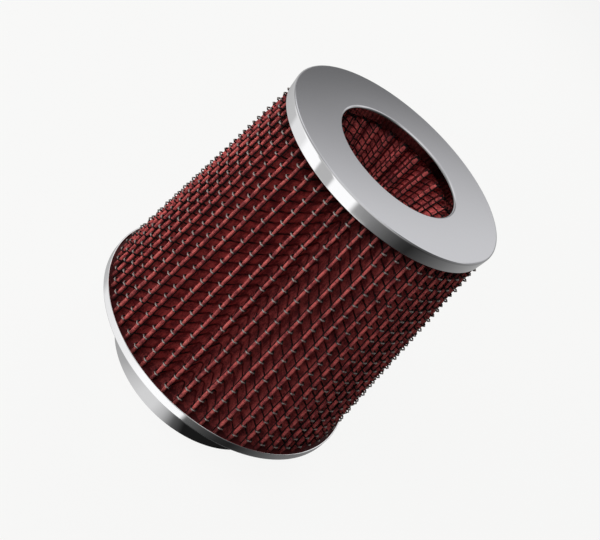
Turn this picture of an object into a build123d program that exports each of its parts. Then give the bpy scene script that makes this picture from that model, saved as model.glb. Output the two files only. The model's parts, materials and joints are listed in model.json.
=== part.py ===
from build123d import *
import os
from dataclasses import dataclass

# Cone air filter for an engine intake, standing on its neck.
# Millimetres. The origin is the middle of the neck's lower end, and +Z runs up the axis.

# Overall sizes
HEIGHT = 170.0  # neck's lower end to the top face
NECK_LENGTH = 27.5  # neck below the flange
SHEET = 0.8  # plated sheet of the flange and the cap

# Intake pipe and the rubber lining of the neck
PIPE_RADIUS = 50.8
PIPE_CLEARANCE = 0.2
SLEEVE_WALL = 1.3

# Flange: rim, web and neck in one pressing
RIM_RADIUS = 76.0
RIM_HEIGHT = 5.3

# Top cap: skirt, face and collar in one pressing
CAP_RADIUS = 61.9
CAP_SKIRT = 7.2
SKIRT_ROLL = 0.7  # how far the skirt closes in at its lower edge
OPENING_RADIUS = 34.1
COLLAR_DEPTH = 5.8

# Pleated gauze, shared by the outer ring and the inner cone.
# Folds taper with the ring, so these are their sizes at its lower end.
GAUZE = 0.9
FOLD_GAP = 0.5  # inside of a fold

# Outer ring
PLEATS = 56
PLEAT_DEPTH = 12.6
RIM_PLAY = 1.5  # fold tips to the inside of the rim
SKIRT_PLAY = 0.5  # fold tips to the inside of the skirt

# Inner cone, hanging upside down from the collar
CONE_PLEATS = 24
CONE_PLEAT_DEPTH = 5.0
CONE_LENGTH = 62.0
CONE_TIP_RADIUS = 16.0  # fold tips at the small end
TIP_PROUD = 1.4  # fold tips stand inside the collar

# Potting ring in the flange, and the plug that closes the inner cone
BASE_SEAL_HEIGHT = 2.0
SEAL_MARGIN = 2.5  # potting inside the innermost folds
PLUG_HEIGHT = 4.0
PLUG_MARGIN = 1.5  # plug outside the folds

# Wire cloth: hoops lie on the gauze, and upright wires lie on the hoops
OUTER_WIRE = 0.7
CONE_WIRE = 0.4
WIRE_PLAY = 0.05
UPRIGHT_PLACE = 0.4  # share of the fold's depth
OUTER_HOOPS = 2
CONE_HOOPS = 1

# Heights and radii that follow
WEB_TOP = NECK_LENGTH + SHEET
BASE_SEAL_TOP = WEB_TOP + BASE_SEAL_HEIGHT
TOP_SEAL_FACE = HEIGHT - COLLAR_DEPTH
CONE_BASE = TOP_SEAL_FACE - CONE_LENGTH
SLEEVE_BORE = PIPE_RADIUS + PIPE_CLEARANCE
NECK_INSIDE = SLEEVE_BORE + SLEEVE_WALL
NECK_RADIUS = NECK_INSIDE + SHEET
RIM_INSIDE = RIM_RADIUS - SHEET
SKIRT_EDGE = CAP_RADIUS - SKIRT_ROLL
FOLD_WIDTH = FOLD_GAP + 2 * GAUZE

# Inner corners of the cap's channel, which the upper potting ring fills
SKIRT_CORNER = (CAP_RADIUS - SHEET, HEIGHT - SHEET)
SKIRT_INNER_EDGE = (SKIRT_EDGE - SHEET, HEIGHT - CAP_SKIRT)
COLLAR_CORNER = (OPENING_RADIUS + SHEET, HEIGHT - SHEET)
COLLAR_OUTER_EDGE = (OPENING_RADIUS + SHEET, TOP_SEAL_FACE)


def at_height(z, low, high):
    """Radius at height z on the straight line through two (radius, height) points."""
    return low[0] + (high[0] - low[0]) * (z - low[1]) / (high[1] - low[1])


def turned(points):
    """Solid of revolution about Z, from the (radius, height) points of its section."""
    section = make_face(Polyline(*[(radius, 0, z) for radius, z in points], close=True))
    return revolve(section, Axis.Z)


def polygon(points):
    """Flat face through a closed run of points."""
    return Face(Wire.make_polygon(points, close=True))


def band(low, high):
    """Flat faces that join two outlines of as many points, side by side."""
    return [
        polygon((low[i - 1], low[i], high[i], high[i - 1]))
        for i in range(len(low))
    ]


def lifted(points, amount):
    """Counter-clockwise outline moved outwards by an amount, with its sides kept parallel."""
    moved = []
    for i, point in enumerate(points):
        before = (point - points[i - 1]).normalized().rotate(Axis.Z, -90)
        after = (points[(i + 1) % len(points)] - point).normalized().rotate(Axis.Z, -90)
        moved.append(point + (before + after) * (amount / (1 + before.dot(after))))
    return moved


@dataclass
class Pleats:
    """A pleated sheet closed to a tapered ring, whose folds all run to one apex.

    Its fold tips point outwards, or inwards to the axis, and carry the wire cloth.
    """

    count: int
    depth: float
    low: tuple  # radius of the fold tips and height, at the lower end
    high: tuple  # the same at the upper end
    outwards: bool
    wire: float  # height and width of the cloth's wires

    def at(self, points, z):
        """Outline of the lower end, brought to height z."""
        scale = at_height(z, self.low, self.high) / self.low[0]
        return [(point.X * scale, point.Y * scale, z) for point in points]

    def folds(self, lift=0.0):
        """Outline of the lower end: four corners a fold, lifted off the sheet's tip side."""
        out = 1 if self.outwards else -1
        tip = self.low[0]
        points = []
        for half_turn in range(2 * self.count):
            radius = tip - out * self.depth if half_turn % 2 else tip
            for across in (-FOLD_WIDTH / 2, FOLD_WIDTH / 2):
                points.append(Vector(radius, across).rotate(Axis.Z, 180 * half_turn / self.count))
        return lifted(points, out * lift)

    def sheet(self):
        """The gauze itself, between its face and its back."""
        ends = (self.low[1], self.high[1])
        tip_side = [self.at(self.folds(), z) for z in ends]
        back = [self.at(self.folds(-GAUZE), z) for z in ends]
        outside, inside = (tip_side, back) if self.outwards else (back, tip_side)
        rings = [(polygon(a) - polygon(b)).face() for a, b in zip(outside, inside)]
        return Solid(Shell(band(*outside) + band(*inside) + rings))

    def hoop(self, z):
        """One cross wire, folded with the gauze. Its three-sided section rests on the sheet."""
        low, high = [self.at(self.folds(), z + edge) for edge in (-self.wire / 2, self.wire / 2)]
        crest = self.at(self.folds(self.wire), z)
        return Solid(Shell(band(low, crest) + band(crest, high) + band(high, low)))

    def upright(self, hand):
        """One straight wire on the wall at either hand of the first fold tip, over the hoops."""
        outline = self.folds(self.wire + WIRE_PLAY)
        start, end = (outline[1], outline[2]) if hand > 0 else (outline[0], outline[-1])
        along = (end - start).normalized()
        off = along.rotate(Axis.Z, -90 * hand if self.outwards else 90 * hand)
        seat = start + (end - start) * UPRIGHT_PLACE
        half = along * (self.wire / 2)
        section = (seat - half, seat + half, seat + off * self.wire)
        low, high = [self.at(section, z) for z in (self.low[1], self.high[1])]
        return Solid(Shell(band(low, high) + [polygon(low), polygon(high)]))

    def cloth(self, hoops):
        """Wire cloth: evenly spaced hoops, and an upright on each wall of each fold."""
        step = (self.high[1] - self.low[1]) / (hoops + 1)
        wires = [self.hoop(self.low[1] + step * (row + 1)) for row in range(hoops)]
        pair = [self.upright(hand) for hand in (-1, 1)]
        for fold in range(self.count):
            wires += [wire.rotate(Axis.Z, 360 * fold / self.count) for wire in pair]
        return Compound(children=wires)


outer = Pleats(
    count=PLEATS,
    depth=PLEAT_DEPTH,
    low=(RIM_INSIDE - RIM_PLAY, BASE_SEAL_TOP),
    high=(SKIRT_EDGE - SHEET - SKIRT_PLAY, TOP_SEAL_FACE),
    outwards=True,
    wire=OUTER_WIRE,
)
cone = Pleats(
    count=CONE_PLEATS,
    depth=CONE_PLEAT_DEPTH,
    low=(CONE_TIP_RADIUS, CONE_BASE),
    high=(OPENING_RADIUS - TIP_PROUD, TOP_SEAL_FACE),
    outwards=False,
    wire=CONE_WIRE,
)


def base_flange():
    """Pressed flange: rim, web and neck."""
    return turned(
        [
            (NECK_INSIDE, 0),
            (NECK_RADIUS, 0),
            (NECK_RADIUS, NECK_LENGTH),
            (RIM_RADIUS, NECK_LENGTH),
            (RIM_RADIUS, NECK_LENGTH + RIM_HEIGHT),
            (RIM_INSIDE, NECK_LENGTH + RIM_HEIGHT),
            (RIM_INSIDE, WEB_TOP),
            (NECK_INSIDE, WEB_TOP),
        ]
    )


def pipe_sleeve():
    """Rubber lining bonded into the neck."""
    return turned(
        [
            (SLEEVE_BORE, 0),
            (NECK_INSIDE, 0),
            (NECK_INSIDE, WEB_TOP),
            (SLEEVE_BORE, WEB_TOP),
        ]
    )


def base_seal():
    """Potting ring in the pan of the flange, under the outer pleats."""
    inside = outer.low[0] - PLEAT_DEPTH - GAUZE - SEAL_MARGIN
    return turned(
        [
            (inside, WEB_TOP),
            (RIM_INSIDE, WEB_TOP),
            (RIM_INSIDE, BASE_SEAL_TOP),
            (inside, BASE_SEAL_TOP),
        ]
    )


def top_cap():
    """Pressed cap: a flat ring with a skirt outside and a collar round the opening."""
    return turned(
        [
            (OPENING_RADIUS, HEIGHT),
            (CAP_RADIUS, HEIGHT),
            (SKIRT_EDGE, HEIGHT - CAP_SKIRT),
            SKIRT_INNER_EDGE,
            SKIRT_CORNER,
            COLLAR_CORNER,
            COLLAR_OUTER_EDGE,
            (OPENING_RADIUS, TOP_SEAL_FACE),
        ]
    )


def top_seal():
    """Potting ring that fills the cap, over both pleated sheets."""
    outside = at_height(TOP_SEAL_FACE, SKIRT_INNER_EDGE, SKIRT_CORNER)
    return turned([COLLAR_OUTER_EDGE, (outside, TOP_SEAL_FACE), SKIRT_CORNER, COLLAR_CORNER])


def cone_plug():
    """Moulded disc that closes the small end of the inner cone."""
    outside = CONE_TIP_RADIUS + CONE_PLEAT_DEPTH + GAUZE + PLUG_MARGIN
    return Pos(0, 0, CONE_BASE - PLUG_HEIGHT / 2) * Cylinder(outside, PLUG_HEIGHT)


pieces = {
    "base_flange": base_flange(),
    "pipe_sleeve": pipe_sleeve(),
    "base_seal": base_seal(),
    "outer_media": outer.sheet(),
    "outer_screen": outer.cloth(OUTER_HOOPS),
    "top_cap": top_cap(),
    "top_seal": top_seal(),
    "cone_media": cone.sheet(),
    "cone_screen": cone.cloth(CONE_HOOPS),
    "cone_plug": cone_plug(),
}

os.makedirs("parts", exist_ok=True)
for name, piece in pieces.items():
    export_step(piece, f"parts/{name}.step")
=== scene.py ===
import json
from math import cos, pi, radians, sin

import bmesh
import bpy
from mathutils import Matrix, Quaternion, Vector


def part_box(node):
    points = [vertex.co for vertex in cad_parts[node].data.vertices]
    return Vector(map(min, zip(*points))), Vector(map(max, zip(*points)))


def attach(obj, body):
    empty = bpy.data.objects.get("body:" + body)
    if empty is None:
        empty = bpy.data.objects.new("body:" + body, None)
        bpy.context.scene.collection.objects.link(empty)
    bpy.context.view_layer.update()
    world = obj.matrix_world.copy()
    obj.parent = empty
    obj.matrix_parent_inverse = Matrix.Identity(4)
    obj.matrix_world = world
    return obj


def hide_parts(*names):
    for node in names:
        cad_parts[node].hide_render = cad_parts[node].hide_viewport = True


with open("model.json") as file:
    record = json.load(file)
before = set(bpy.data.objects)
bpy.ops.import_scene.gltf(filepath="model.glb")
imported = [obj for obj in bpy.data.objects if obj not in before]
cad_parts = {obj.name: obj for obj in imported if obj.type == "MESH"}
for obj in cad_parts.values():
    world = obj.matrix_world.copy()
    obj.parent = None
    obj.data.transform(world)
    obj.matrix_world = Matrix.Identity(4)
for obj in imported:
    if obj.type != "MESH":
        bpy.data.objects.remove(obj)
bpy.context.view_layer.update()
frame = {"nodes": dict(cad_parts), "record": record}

# Base flange
# Rim, web and neck are pressed from one steel sheet and chrome plated. The intake pipe goes up into
# the neck, and the gauze stands potted in the pan behind the rim.

MM = 0.001
touching = 0.001 * MM  # points as close as this are one
mounts = {mount["name"]: mount["dims"] for mount in frame["record"]["mounts"]}
rim_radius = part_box("base_flange")[1].x
rim_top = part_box("base_flange")[1].z
neck_radius = mounts["neck_outside"]["r_mm"] * MM
neck_length = mounts["neck_outside"]["length_mm"] * MM
sheet = 0.8 * MM
bend = 1.2 * MM
bend_segments = 4
cut_edge = 0.3 * MM
ring_steps = 200
sharp_angle = radians(30)
plating = (0.92, 0.92, 0.93, 1)


def pick(piece, kind, wanted):
    """In edit mode, selects the vertices or the edges whose corners' places pass a test."""
    bpy.ops.mesh.select_mode(type=kind)
    bpy.ops.mesh.select_all(action="DESELECT")
    mesh = bmesh.from_edit_mesh(piece.data)
    for element in {"VERT": mesh.verts, "EDGE": mesh.edges}[kind]:
        corners = [element] if kind == "VERT" else element.verts
        if wanted(*[corner.co for corner in corners]):
            element.select_set(True)
    mesh.select_flush_mode()
    bmesh.update_edit_mesh(piece.data)


def started(name, place):
    """A new piece in edit mode, brought down to one vertex."""
    bpy.ops.object.select_all(action="DESELECT")
    bpy.ops.mesh.primitive_plane_add(size=MM)
    piece = bpy.context.object
    piece.name = piece.data.name = name
    bpy.ops.object.mode_set(mode="EDIT")
    bpy.ops.mesh.select_mode(type="VERT")
    bpy.ops.mesh.merge(type="CENTER")
    bpy.ops.transform.translate(value=place)
    return piece


def drawn_on(places):
    """Extrudes the vertex in hand from place to place."""
    for place, following in zip(places, places[1:]):
        bpy.ops.mesh.extrude_vertices_move(TRANSFORM_OT_translate={"value": following - place})


def turned(name, corners):
    """A ring spun from a closed section, with a radius, a height and a rounding for each corner."""
    places = [Vector((radius, 0, z)) for radius, z, rounding in corners]
    piece = started(name, places[0])
    drawn_on(places)
    bpy.ops.mesh.select_all(action="SELECT")
    bpy.ops.mesh.edge_face_add()
    for place, (radius, z, rounding) in zip(places, corners):
        pick(piece, "VERT", lambda point: (point - place).length < touching)
        bpy.ops.mesh.bevel(offset=rounding, segments=bend_segments, affect="VERTICES")
    bpy.ops.mesh.select_all(action="SELECT")
    bpy.ops.mesh.delete(type="ONLY_FACE")
    bpy.ops.mesh.select_all(action="SELECT")
    bpy.ops.mesh.spin(steps=ring_steps, angle=2 * pi, center=(0, 0, 0), axis=(0, 0, 1))
    bpy.ops.mesh.select_all(action="SELECT")
    bpy.ops.mesh.remove_doubles(threshold=touching)
    bpy.ops.mesh.normals_make_consistent(inside=False)
    bpy.ops.object.mode_set(mode="OBJECT")
    bpy.ops.object.shade_smooth_by_angle(angle=sharp_angle)
    flat = piece.modifiers.new("flat_faces", "WEIGHTED_NORMAL")
    flat.keep_sharp = True
    bpy.ops.object.modifier_apply(modifier=flat.name)
    return piece


class Value:
    """One output of a material's nodes. Arithmetic on values adds Math nodes."""

    def __init__(self, tree, socket):
        self.tree = tree
        self.socket = socket

    def node(self, kind, sockets, output=0, stops=(), **settings):
        """A new node in the same material: its settings, then what its sockets take."""
        made = self.tree.nodes.new("ShaderNode" + kind)
        for name, value in settings.items():
            setattr(made, name, value)
        if stops:
            ramp = made.color_ramp.elements
            ramp[0].color, ramp[1].color = [(grey, grey, grey, 1) for grey in (stops[0][1], stops[-1][1])]
            for position, grey in stops[1:-1]:
                ramp.new(position).color = (grey, grey, grey, 1)
        for name, value in sockets.items():
            if isinstance(value, Value):
                self.tree.links.new(value.socket, made.inputs[name])
            else:
                made.inputs[name].default_value = value
        return Value(self.tree, made.outputs[output])

    def math(self, operation, other):
        """A Math node on this value and another."""
        return self.node("Math", {0: self, 1: other}, operation=operation)

    def __add__(self, other):
        return self.math("ADD", other)

    def __sub__(self, other):
        return self.math("SUBTRACT", other)

    def __rsub__(self, other):
        return self.node("Math", {0: other, 1: self}, operation="SUBTRACT")

    def __mul__(self, other):
        return self.math("MULTIPLY", other)

    def __truediv__(self, other):
        return self.math("DIVIDE", other)

    def __pow__(self, other):
        return self.math("POWER", other)

    __radd__ = __add__
    __rmul__ = __mul__

    def axes(self):
        """The x, y and z of a place or a direction."""
        return [self.node("SeparateXYZ", {0: self}, output=axis) for axis in range(3)]

    def between(self, low, high):
        """0 below low, 1 above high, and smooth on the way."""
        return self.node(
            "MapRange",
            {"Value": self, "From Min": low, "From Max": high},
            interpolation_type="SMOOTHSTEP",
        )

    def noise(self, size, detail=3.0):
        """Clouds on this place, with spots of about that size, as a number round 0.5."""
        return self.node("TexNoise", {"Vector": self, "Scale": 1 / size, "Detail": detail})

    def mix(self, low, high):
        """A colour between two, by this share."""
        return self.node(
            "Mix", {"Factor": self, "A": low, "B": high}, output="Result", data_type="RGBA"
        )

    def bump(self, height):
        """A normal for a surface raised by this value times a height."""
        return self.node("Bump", {"Height": self, "Distance": height, "Strength": 1.0})

    def to(self, shader, socket):
        """Links this value to a socket."""
        self.tree.links.new(self.socket, shader.inputs[socket])


def finish_for(name, piece, **constants):
    """A new material on a piece: its shader with the constant sockets set, and the place on the piece."""
    made = bpy.data.materials.new(name)
    made.use_nodes = True
    tree = made.node_tree
    shader = tree.nodes["Principled BSDF"]
    for socket, value in constants.items():
        shader.inputs[socket.replace("_", " ")].default_value = value
    if piece.material_slots:
        piece.material_slots[0].material = made
    else:
        piece.data.materials.append(made)
    return shader, Value(tree, tree.nodes.new("ShaderNodeTexCoord").outputs["Object"])


base_flange = turned(
    "base_flange_plated",
    [
        (neck_radius - sheet, 0, cut_edge),
        (neck_radius, 0, cut_edge),
        (neck_radius, neck_length, bend),
        (rim_radius, neck_length, bend),
        (rim_radius, rim_top, cut_edge),
        (rim_radius - sheet, rim_top, cut_edge),
        (rim_radius - sheet, neck_length + sheet, cut_edge),
        (neck_radius - sheet, neck_length + sheet, bend),
    ],
)
plate, place = finish_for("chrome_plate", base_flange, Metallic=1.0, Base_Color=plating)
haze = place.noise(18 * MM)
(0.05 + 0.07 * haze).to(plate, "Roughness")
waves = place.noise(30 * MM, detail=1.0)
waves.bump(0.15 * MM).to(plate, "Normal")
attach(base_flange, "root")
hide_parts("base_flange")

# Pipe lining
# A rubber sleeve moulded in black and bonded into the neck, which seals on the intake pipe.
# Its solid is right as it is, so it gets only its finish.

rubber_black = (0.012, 0.012, 0.012, 1)
rubber_bloom = (0.03, 0.03, 0.03, 1)


def rubber_finish(name, piece):
    """Moulded black rubber, clouded by a paler and duller bloom."""
    rubber, place = finish_for(name, piece, Specular_IOR_Level=0.3)
    bloom = place.noise(6 * MM)
    bloom.mix(rubber_black, rubber_bloom).to(rubber, "Base Color")
    (0.55 + 0.25 * bloom).to(rubber, "Roughness")
    return rubber, place


lining, place = rubber_finish("lining_rubber", frame["nodes"]["pipe_sleeve"])
grain = place.noise(0.6 * MM)
grain.bump(0.05 * MM).to(lining, "Normal")

# Potting rings
# Two-part elastomer, poured dark red into the flange's pan and the cap's channel, which grips the
# cut ends of the pleats. Only its skin shows, between the folds and from below.

potting_dark = (0.03, 0.007, 0.007, 1)
potting_red = (0.1, 0.016, 0.018, 1)
for node in ("base_seal", "top_seal"):
    potting, place = finish_for(node + "_elastomer", frame["nodes"][node], Specular_IOR_Level=0.35)
    flow = place.noise(9 * MM)
    flow.mix(potting_dark, potting_red).to(potting, "Base Color")
    (0.4 + 0.3 * flow).to(potting, "Roughness")
    flow.bump(0.3 * MM).to(potting, "Normal")

# Outer gauze
# One long sheet of oiled red cotton gauze, folded into deep pleats and closed to a tapered ring. The
# wire cloth is folded with it and draws every fold in behind its round tip, and at each cross wire.
# Potting and painted shade blacken the top end under the cap, and painted shade darkens the low end by the
# rim.

gauze_thickness = 0.4 * MM
gauze_low, gauze_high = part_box("outer_media")
# For both ends: the height, the radius and half width of the fold tips, and the depth of the folds
outer = {
    "folds": 56,
    "start": 0.0,
    "low": gauze_low.z,
    "high": gauze_high.z,
    "low_tip": gauze_high.x,
    "high_tip": 59.9 * MM,
    "low_depth": 11.5 * MM,
    "high_depth": 11.5 * MM,
    "low_half": 1.0 * MM,
    "high_half": 0.72 * MM,
}
outer_hoop_pitch = 7.17 * MM
lowest_hoop = 36.0 * MM
outer_hoops = [lowest_hoop + outer_hoop_pitch * row for row in range(18)]
pinch = 1.5 * MM
around_hoops = [z + side * pinch for z in outer_hoops for side in (-1, 1)]
outer_draw = 0.84
tip_draw = 0.2 * MM
foot_depth = 0.94
foot_turn = 0.73
low_valley_spread = 1.1
outer_sway = 0.4 * MM
sway_size = 14 * MM
seam_gap = 0.01 * MM
fold_angle = radians(70)
outer_tip_red = (0.327, 0.073, 0.07, 1)
outer_wall_red = (0.345, 0.06, 0.062, 1)
# Height of the black band at the top end: the potting, and painted shade under the cap's skirt
outer_potting_and_shade = 3 * MM
dye_thin = (0.45, 0.4, 0.45, 1)
dye_full = (1.4, 1.4, 1.3, 1)
# Black for the potting and for the painted shade at the ends of the sheets
potting_and_shade_black = (0.003, 0.003, 0.003, 1)


def fold_corners(ring, end, lift=0.0, loop=0.0):
    """Corners of one fold across +X at an end of the ring, valley to valley. A lift takes them off the
    gauze, and a loop takes the ones round the tip further off."""
    tip, depth, half = ring[end + "_tip"], ring[end + "_depth"], ring[end + "_half"]
    out = 1 if depth > 0 else -1
    # How far behind the tip, and how far across: a narrow throat, the round sides, and a shoulder
    steps = [
        (2.0 * half, 0.5 * half + lift),
        (1.6 * half, 0.82 * half + lift),
        (0.95 * half - 0.2 * loop, half + lift + 0.4 * loop),
        (0.3 * half - 0.7 * lift - 0.7 * loop, 0.72 * half + 0.7 * lift + 0.5 * loop),
    ]
    round_tip = [Vector((tip - out * behind, across, ring[end])) for behind, across in steps]
    crest = Vector((tip + out * (lift + loop), 0, ring[end]))
    floor = Vector((tip - foot_depth * depth + out * lift, 0, ring[end]))
    valley = Vector((tip - depth + out * lift, 0, ring[end]))
    half_pitch = pi / ring["folds"]
    foot = Quaternion((0, 0, 1), foot_turn * half_pitch) @ floor + Vector((0, 0.8 * lift, 0))
    right = [*reversed(round_tip), foot, Quaternion((0, 0, 1), half_pitch) @ valley]
    left = [Vector((corner.x, -corner.y, corner.z)) for corner in reversed(right)]
    return [*left, crest, *right]


def strip(name, low, high):
    """A sheet one fold wide, drawn through the low places and pulled up to the high ones."""
    piece = started(name, low[0])
    drawn_on(low)
    bpy.ops.mesh.select_all(action="SELECT")
    rise = high[0] - low[0]
    bpy.ops.mesh.extrude_region_move(TRANSFORM_OT_translate={"value": rise})
    for start, end in zip(low[1:], high[1:]):
        pick(piece, "VERT", lambda point: (point - start - rise).length < touching)
        bpy.ops.transform.translate(value=end - start - rise)
    return piece


def cut_across(heights):
    """Cuts the piece in edit mode level at some heights."""
    for z in heights:
        bpy.ops.mesh.select_all(action="SELECT")
        bpy.ops.mesh.bisect(plane_co=(0, 0, z), plane_no=(0, 0, 1))


def folded(name, ring, heights, lift=0.0, loop=0.0):
    """One fold of a ring, cut across at some heights."""
    piece = strip(name, *[fold_corners(ring, end, lift, loop) for end in ("low", "high")])
    cut_across(heights)
    return piece


def drawn_in(piece, ring, heights, share):
    """Draws all of a fold but its two valleys in at each cross wire."""
    edge = 0.98 * pi / ring["folds"]
    pick(
        piece,
        "VERT",
        lambda point: abs(point.y) < edge * point.x
        and any(abs(point.z - z) < touching for z in heights),
    )
    bpy.ops.transform.resize(value=(1, share, 1), center_override=(0, 0, 0))
    bpy.ops.transform.translate(value=(-tip_draw if ring["low_depth"] > 0 else tip_draw, 0, 0))


def repeated(piece, ring):
    """Copies one fold round the ring, and closes the ring."""
    copies = ring["folds"] - 1
    turn = 2 * pi / ring["folds"]
    bpy.ops.mesh.select_all(action="SELECT")
    bpy.ops.transform.rotate(value=-ring["start"], orient_axis="Z", center_override=(0, 0, 0))
    bpy.ops.mesh.spin(steps=copies, dupli=True, angle=turn * copies, center=(0, 0, 0), axis=(0, 0, 1))
    bpy.ops.mesh.select_all(action="SELECT")
    bpy.ops.mesh.remove_doubles(threshold=seam_gap)


handling = bpy.data.textures.new("handling", "CLOUDS")
handling.noise_scale = sway_size


def made_uneven(piece, amount):
    """Moves a whole stretch of folds aside by up to an amount, as handling does."""
    bpy.ops.object.mode_set(mode="OBJECT")
    shift = piece.modifiers.new("handling", "DISPLACE")
    shift.texture = handling
    shift.texture_coords = "LOCAL"
    shift.direction = "RGB_TO_XYZ"
    shift.strength = 2 * amount
    bpy.ops.object.modifier_apply(modifier=shift.name)


def made_thick(piece):
    """Gives a folded sheet its thickness, away from the side that its folds show."""
    thick = piece.modifiers.new("thickness", "SOLIDIFY")
    thick.thickness = gauze_thickness
    thick.offset = -1
    bpy.ops.object.modifier_apply(modifier=thick.name)
    bpy.ops.object.shade_smooth_by_angle(angle=fold_angle)


def cut_to(ring):
    """Width and length of the flat sheet before it was folded."""
    widths = []
    for end in ("low", "high"):
        corners = fold_corners(ring, end)
        widths.append(sum((b - a).length for a, b in zip(corners, corners[1:])) * ring["folds"])
    taper = Vector((ring["high"] - ring["low"], ring["high_tip"] - ring["low_tip"]))
    return sum(widths) / 2, taper.length


def below_tip(place, ring):
    """How far a place on a pleated sheet lies behind the fold tips, and its height."""
    x, y, z = place.axes()
    slope = (ring["high_tip"] - ring["low_tip"]) / (ring["high"] - ring["low"])
    tip = ring["low_tip"] + slope * (z - ring["low"])
    return (tip - (x * x + y * y) ** 0.5) * (1 if ring["low_depth"] > 0 else -1), z


def gauze_finish(name, piece, ring, tip_colour, wall_colour, potting_and_shade_height):
    """Dyed cotton, other-coloured on the fold tips, mottled by oil, black where potted, painted shade at
    both ends.
    """
    cotton, place = finish_for(name, piece, Roughness=0.9, Specular_IOR_Level=0.15)
    sunk, z = below_tip(place, ring)
    blotches = place.noise(4 * MM, detail=2.0)
    fibres = place.noise(0.8 * MM, detail=4.0)
    # The outer sheet's tips are rubbed paler; on the cone the walls are painted lighter than the tips, as
    # painted light
    body = sunk.between(-0.1 * MM, 0.9 * MM).mix(tip_colour, wall_colour)
    mottle = (blotches * 1.4 + fibres * 1.2 - 1.3).between(-0.28, 0.28).mix(dye_thin, dye_full)
    dyed = place.node(
        "Mix", {"Factor": 1.0, "A": body, "B": mottle}, "Result", data_type="RGBA", blend_type="MULTIPLY"
    )
    # Black band at the top end: the sheet's end in the potting, and painted shade under the cap
    potting_and_shade = z.between(ring["high"] - potting_and_shade_height, ring["high"] - 0.7 * potting_and_shade_height)
    # Painted shade: darker at the low end by the rim, and over a wider band towards the top under the cap
    low_painted_shade = (1 - z.between(ring["low"] + 1 * MM, ring["low"] + 7 * MM)) * 0.5
    high_painted_shade = z.between(ring["high"] - 5 * potting_and_shade_height, ring["high"] - potting_and_shade_height) * 0.4
    dark = potting_and_shade.math("MAXIMUM", low_painted_shade + high_painted_shade)
    dark.mix(dyed, potting_and_shade_black).to(cotton, "Base Color")
    (fibres + blotches * 0.5).bump(0.3 * MM).to(cotton, "Normal")


outer_gauze = folded("outer_gauze", outer, outer_hoops + around_hoops)
drawn_in(outer_gauze, outer, outer_hoops, outer_draw)
low_valley = outer["low_tip"] - 0.9 * outer["low_depth"]
pick(
    outer_gauze,
    "VERT",
    lambda point: point.z < outer["low"] + touching and point.xy.length < low_valley,
)
bpy.ops.transform.resize(
    value=(low_valley_spread, low_valley_spread, 1), center_override=(0, 0, outer["low"])
)
repeated(outer_gauze, outer)
bpy.ops.mesh.normals_make_consistent(inside=False)
made_uneven(outer_gauze, outer_sway)
made_thick(outer_gauze)
gauze_finish("oiled_gauze", outer_gauze, outer, outer_tip_red, outer_wall_red, outer_potting_and_shade)
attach(outer_gauze, "root")
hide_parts("outer_media")
cut_to(outer)

# Outer wire cloth
# Steel wire woven to a coarse cloth, coated black, and folded together with the gauze. Its cross
# wires stand over each fold tip, where the coat is rubbed down to grey metal.

outer_wire = 0.8 * MM
outer_long_wire = 0.75 * MM
outer_seats = (2.1,)
crest_loop = 1.0 * MM
wire_lift = 0.4
wire_draw = 0.92
coat_black = (0.014, 0.009, 0.009, 1)
lint_red = (0.14, 0.018, 0.02, 1)
bare_wire = (0.46, 0.405, 0.38, 1)


def as_wire(piece, diameter):
    """Turns the bare edges of a piece into round wire."""
    bpy.ops.object.mode_set(mode="OBJECT")
    bpy.ops.object.convert(target="CURVE")
    piece.data.bevel_depth = diameter / 2
    piece.data.bevel_resolution = 1
    piece.data.use_fill_caps = True
    bpy.ops.object.convert(target="MESH")
    bpy.ops.object.shade_smooth()


def cross_wires(name, ring, diameter, heights, loop):
    """Cross wires that follow every fold and stand off its tip in a loop."""
    piece = folded(name, ring, heights, wire_lift * diameter, loop)
    pick(piece, "EDGE", lambda a, b: not any(abs(a.z - z) + abs(b.z - z) < touching for z in heights))
    bpy.ops.mesh.delete(type="EDGE")
    drawn_in(piece, ring, heights, wire_draw)
    repeated(piece, ring)
    return piece


def long_wires(name, ring, diameter, seats):
    """Wires along both sides of every fold, at some seats on the way from its valley to its tip, counted
    in corners of the fold. Cuts let them bend with the gauze."""
    ends = []
    for end in ("low", "high"):
        corners = fold_corners(ring, end, lift=wire_lift * diameter)
        sides = []
        for side in (corners, corners[::-1]):
            sides.append([side[int(seat)].lerp(side[int(seat) + 1], seat % 1) for seat in seats])
        ends.append(sides[0] + sides[1][::-1])
    piece = strip(name, *ends)
    pick(piece, "EDGE", lambda a, b: abs(a.z - b.z) < touching)
    bpy.ops.mesh.delete(type="EDGE")
    cut_across(around_hoops)
    repeated(piece, ring)
    return piece


def wire_finish(name, piece, ring, wear):
    """Black coated wire, rubbed to grey metal over the fold tips and furred red in the valleys."""
    coat, place = finish_for(name, piece, Specular_IOR_Level=0.06)
    sunk = below_tip(place, ring)[0]
    worn = (1 - sunk.between(-1.25 * MM, -0.55 * MM)) * place.noise(2 * MM).between(0.1, 0.5) * wear
    furred = sunk.between(3 * MM, 7 * MM) * place.noise(3 * MM).between(0.3, 0.55)
    coated = furred.mix(coat_black, lint_red)
    worn.mix(coated, bare_wire).to(coat, "Base Color")
    worn.to(coat, "Metallic")
    (0.7 - 0.48 * worn).to(coat, "Roughness")


outer_cross = cross_wires("outer_cross_wires", outer, outer_wire, outer_hoops, crest_loop)
made_uneven(outer_cross, outer_sway)
as_wire(outer_cross, outer_wire)
outer_long = long_wires("outer_long_wires", outer, outer_long_wire, outer_seats)
made_uneven(outer_long, outer_sway)
as_wire(outer_long, outer_long_wire)
for cloth in (outer_cross, outer_long):
    wire_finish(cloth.name + "_coat", cloth, outer, wear=1.0)
    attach(cloth, "root")
    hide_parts("outer_screen")

# Top cap
# A ring pressed from steel sheet, with a skirt outside and a collar round the opening. The face is
# blasted to a satin grey, the skirt and both edges are polished, and the inside of the collar is a
# little duller and painted darker, as painted shade inside the opening.

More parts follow.
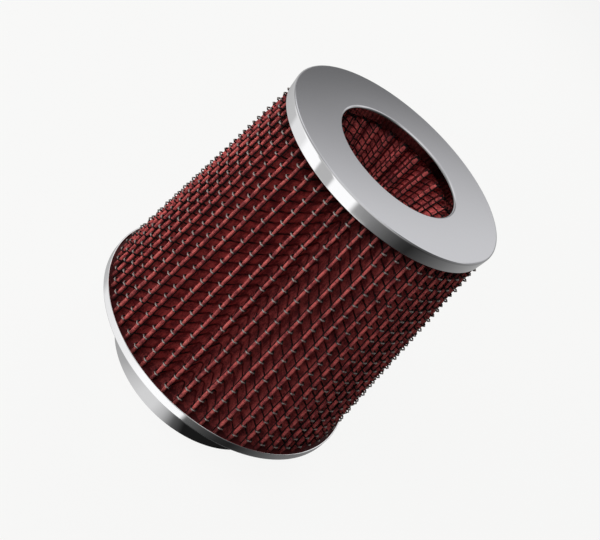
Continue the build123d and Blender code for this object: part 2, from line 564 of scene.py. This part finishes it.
cap_low, cap_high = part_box("top_cap")
cap_radius = cap_high.x
opening_radius = 34.1 * MM
collar_depth = 5.8 * MM
skirt_roll = 0.7 * MM
cap_round = 1.2 * MM
opening_round = 1.2 * MM
face_grey = (0.617, 0.617, 0.645, 1)
collar_painted_shade_grey = (0.3, 0.3, 0.3, 1)

top_cap = turned(
    "top_cap_pressing",
    [
        (opening_radius, cap_high.z, opening_round),
        (cap_radius, cap_high.z, cap_round),
        (cap_radius - skirt_roll, cap_low.z, cut_edge),
        (cap_radius - skirt_roll - sheet, cap_low.z, cut_edge),
        (cap_radius - sheet, cap_high.z - sheet, cut_edge),
        (opening_radius + sheet, cap_high.z - sheet, cut_edge),
        (opening_radius + sheet, cap_high.z - collar_depth, cut_edge),
        (opening_radius, cap_high.z - collar_depth, cut_edge),
    ],
)
satin, place = finish_for("satin_steel", top_cap, Metallic=1.0)
x, y, z = place.axes()
radius = (x * x + y * y) ** 0.5
face = z.between(cap_high.z - 0.5 * MM, cap_high.z - 0.1 * MM)
outside = radius.between(opening_radius + 0.25 * MM, opening_radius + 0.4 * MM)
upper = z.between(cap_high.z - 0.6 * MM, cap_high.z - 0.45 * MM)
collar = (1 - outside) * (1 - upper)
grit = place.noise(0.35 * MM, detail=2.0)
# The inside of the collar takes a darker grey, as painted shade inside the opening
face.mix(collar.mix(plating, collar_painted_shade_grey), face_grey).to(satin, "Base Color")
(0.06 + 0.04 * collar + face * (0.05 + 0.04 * grit)).to(satin, "Roughness")
(grit * face).bump(0.003 * MM).to(satin, "Normal")
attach(top_cap, "root")
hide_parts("top_cap")

# Inner cone
# A second sheet of the same gauze, pleated the other way round and hung upside down from the collar,
# so that air also enters through the middle of the cap. Its fold ends turn back behind the collar.

cone_low, cone_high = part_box("cone_media")
cone = {
    "folds": 24,
    "start": radians(-4.3),
    "low": cone_low.z,
    "high": cone_high.z,
    "low_tip": 16.0 * MM,
    "high_tip": 32.7 * MM,
    "low_depth": -5.0 * MM,
    "high_depth": -10.0 * MM,
    "low_half": 0.65 * MM,
    "high_half": 0.9 * MM,
}
cone_hoop_pitch = 3.28 * MM
fold_head = 2.4 * MM
head_turn = 3 * MM
cone_hoops = [cone["high"] - fold_head - cone_hoop_pitch * (row + 0.5) for row in range(18)]
cone_draw = 0.88
cone_sway = 0.3 * MM
# The cone's walls are painted much lighter than its tips, as painted light in its shaded folds
cone_tip_red = (0.34, 0.064, 0.064, 1)
cone_wall_painted_light_red = (0.58, 0.107, 0.11, 1)
# Height of the black band at the cone's top: the potting, and painted shade under the collar
cone_potting_and_shade = 1.4 * MM

cone_gauze = folded("cone_gauze", cone, cone_hoops + [cone["high"] - fold_head])
drawn_in(cone_gauze, cone, cone_hoops, cone_draw)
pick(
    cone_gauze,
    "VERT",
    lambda point: point.z > cone["high"] - touching and abs(point.y) < 2 * cone["high_half"],
)
bpy.ops.transform.translate(value=(head_turn, 0, 0))
repeated(cone_gauze, cone)
bpy.ops.mesh.normals_make_consistent(inside=True)
made_uneven(cone_gauze, cone_sway)
made_thick(cone_gauze)
gauze_finish("cone_oiled_gauze", cone_gauze, cone, cone_tip_red, cone_wall_painted_light_red, cone_potting_and_shade)
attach(cone_gauze, "root")
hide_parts("cone_media")
cut_to(cone)

# Inner wire cloth
# A closer cloth of thinner wire, coated black like the outer one and folded with the inner cone, on
# the side that faces the opening. Nothing rubs it there, so its coat is whole.

cone_wire = 0.75 * MM
cone_loop = 0.1 * MM
cone_seats = (0.2, 1.45, 4.2)
cone_cross = cross_wires("cone_cross_wires", cone, cone_wire, cone_hoops, cone_loop)
made_uneven(cone_cross, cone_sway)
as_wire(cone_cross, cone_wire)
cone_long = long_wires("cone_long_wires", cone, cone_wire, cone_seats)
made_uneven(cone_long, cone_sway)
as_wire(cone_long, cone_wire)
for cloth in (cone_cross, cone_long):
    wire_finish(cloth.name + "_coat", cloth, cone, wear=0.0)
    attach(cloth, "root")
    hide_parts("cone_screen")

# Cone plug
# A disc of the same black rubber as the lining, moulded on to close the small end of the inner cone.
# It lies deep behind the folds, and its solid gets only its finish.

rubber_finish("plug_rubber", frame["nodes"]["cone_plug"])

# Floor, light and camera
# A pale floor under four soft lights and an even sky. Polished metal sees neither the floor nor the
# lights, but pale and grey studio panels all round and a glowing disc close under the part, with the
# floor's light and shade under the rim painted on it by angle.

floor_size = 12
floor_grey = (0.5, 0.5, 0.497, 1)
floor_white = (0.968, 0.968, 0.961, 1)
floor_glow = 0.93
disc_radius = 72 * MM
disc_height = 0.05 * MM
sky_grey = (0.08, 0.08, 0.08, 1)
sky_white = (0.935, 0.935, 0.927, 1)
overhead_white = (0.95, 0.95, 0.95, 1)
panel_lean = 0.2415
lean_from = 0.358
lamp_size = 0.7
lamp_distance = 1.2
part_middle = Vector((0, 0, 90 * MM))

bpy.ops.object.select_all(action="DESELECT")
bpy.ops.mesh.primitive_plane_add(size=floor_size)
floor = bpy.context.object
floor.name = "floor"
bpy.ops.object.mode_set(mode="EDIT")
bpy.ops.mesh.subdivide(number_cuts=1)
bpy.ops.object.mode_set(mode="OBJECT")
floor.visible_glossy = False
paper, place = finish_for("pale_floor", floor, Base_Color=floor_grey, Roughness=1.0)
seen = place.node("LightPath", {}, output="Is Camera Ray")
glow = place.node("Emission", {"Color": floor_white, "Strength": 1.0})
lit = Value(place.tree, paper.outputs["BSDF"])
pale = place.node("MixShader", {0: seen * floor_glow, 1: lit, 2: glow})
pale.to(place.tree.nodes["Material Output"], "Surface")


def around(x, y):
    """The angle of a place or a direction about +Z, as a share of the full turn from -X."""
    return y.math("ARCTAN2", x) / (2 * pi) + 0.5


def panels(turn, stops):
    """Grey levels all round the part, each at an angle about +Z that is given in degrees."""
    return turn.node("ValToRGB", {"Fac": turn}, stops=[(angle / 360 + 0.5, grey) for angle, grey in stops])


bpy.ops.object.select_all(action="DESELECT")
bpy.ops.mesh.primitive_circle_add(
    radius=disc_radius, vertices=64, fill_type="NGON", location=(0, 0, disc_height)
)
disc = bpy.context.object
disc.name = "floor_under_part"
disc.visible_camera = disc.visible_diffuse = disc.visible_shadow = False
place = finish_for("painted_shade_floor", disc)[1]
x, y = place.axes()[:2]
# Painted light and shade: the disc glows with grey levels by angle, standing in for the lit floor and the
# rim's shadow
painted_shade = panels(
    around(x, y),
    [
        *[(-180, 0.25), (-150, 0.38), (-135, 0.42), (-125, 0.55), (-113, 0.68), (-103, 0.68), (-95, 0.47)],
        *[(-88, 0.1), (-80.5, 0.011), (-50, 0.008), (-35, 0.03), (0, 0.06)],
        *[(40, 0.1), (75, 0.45), (95, 0.6), (115, 0.3), (140, 0.14), (180, 0.25)],
    ],
)
glow = place.node("Emission", {"Color": painted_shade, "Strength": 1.0})
glow.to(place.tree.nodes["Material Output"], "Surface")

world = bpy.data.worlds.new("studio")
bpy.context.scene.world = world
world.use_nodes = True
tree = world.node_tree
way = Value(tree, tree.nodes.new("ShaderNodeTexCoord").outputs["Generated"])
seen, mirrored = [way.node("LightPath", {}, output=ray) for ray in ("Is Camera Ray", "Is Glossy Ray")]
x, y, z = way.axes()
turn = around(x, y)
beside = panels(
    turn,
    [
        *[(-180, 0.82), (-173, 1.06), (-152, 1.06), (-149, 0.47), (-132, 0.47), (-129, 1.06), (-103, 1.06)],
        *[(-98, 0.33), (-73, 0.16), (-59, 0.087), (-46, 0.036), (-36, 0.02), (-19, 0.062), (-6, 0.105)],
        *[(7, 0.15), (31, 0.255), (67, 0.4), (120, 0.5), (152, 0.55), (158, 0.8), (180, 0.82)],
    ],
)
below = panels(
    turn,
    [
        *[(-180, 0.88), (-150, 0.93), (-126, 1.06), (-83, 1.06), (-79, 0.125), (-62, 0.055), (-48, 0.022)],
        *[(-36, 0.014), (-22, 0.04), (-9, 0.08), (3, 0.116), (16, 0.15), (53, 0.2), (67, 0.3)],
        *[(140, 0.55), (152, 0.85), (180, 0.88)],
    ],
)
above = panels(
    turn - (z - lean_from) * panel_lean,
    [
        *[(-180, 0.52), (-160, 0.58), (-140, 0.61), (-127, 0.57), (-108, 0.53), (-90, 0.45), (-71, 0.27)],
        *[(-55, 0.1), (-38, 0.07), (-8, 0.125), (24, 0.29), (48, 0.5), (64, 0.92), (72, 0.88)],
        *[(85.5, 0.15), (93, 0.17), (101, 0.42), (130, 0.38), (140, 0.3), (148, 0.39), (163, 0.46)],
        (180, 0.52),
    ],
)
# The panels below reach a little higher at the back, and there is a pale one high up behind the part
lower = 1 - (z - y.between(0.1, 0.35) * 0.06).between(-0.63, -0.615)
behind = z.between(0.45, 0.58) * y.between(0.36, 0.48) * x.between(-0.68, -0.58)
overhead = z.between(0.92, 0.97).math("MAXIMUM", behind)
higher = overhead.mix(above, overhead_white)
mirror = z.between(0.18, 0.33).mix(lower.mix(beside, below), higher)
sky = mirrored.mix(seen.mix(sky_grey, sky_white), mirror)
sky.to(tree.nodes["Background"], "Color")


def lamp(name, turn, rise, power):
    """A soft light turned to the part, from an angle about +Z and a rise over the floor in degrees."""
    level = cos(radians(rise))
    way = Vector((level * cos(radians(turn)), level * sin(radians(turn)), sin(radians(rise))))
    bpy.ops.object.light_add(type="AREA", location=part_middle + lamp_distance * way)
    made = bpy.context.object
    made.name = name
    made.data.size = lamp_size
    made.data.energy = power
    made.visible_glossy = False
    made.rotation_euler = way.to_track_quat("Z", "Y").to_euler()


lamp("side_light", -170, 22, 6.2)
lamp("left_light", -145, 25, 6.2)
lamp("front_light", -117, 46, 6)
lamp("back_light", 92, 35, 8)

camera_place = Vector((-78.24, -462.61, 368.68)) * MM
camera_aim = Vector((2.49, -0.43, 89.21)) * MM
camera_roll = radians(44.49)
bpy.ops.object.camera_add(location=camera_place)
camera = bpy.context.object
camera.data.sensor_width = 36
camera.data.lens = 64.64
camera.data.clip_start = 0.01
look = (camera_aim - camera_place).to_track_quat("-Z", "Y") @ Quaternion((0, 0, 1), camera_roll)
camera.rotation_euler = look.to_euler()
bpy.context.scene.camera = camera
bpy.context.scene.view_settings.view_transform = "Standard"
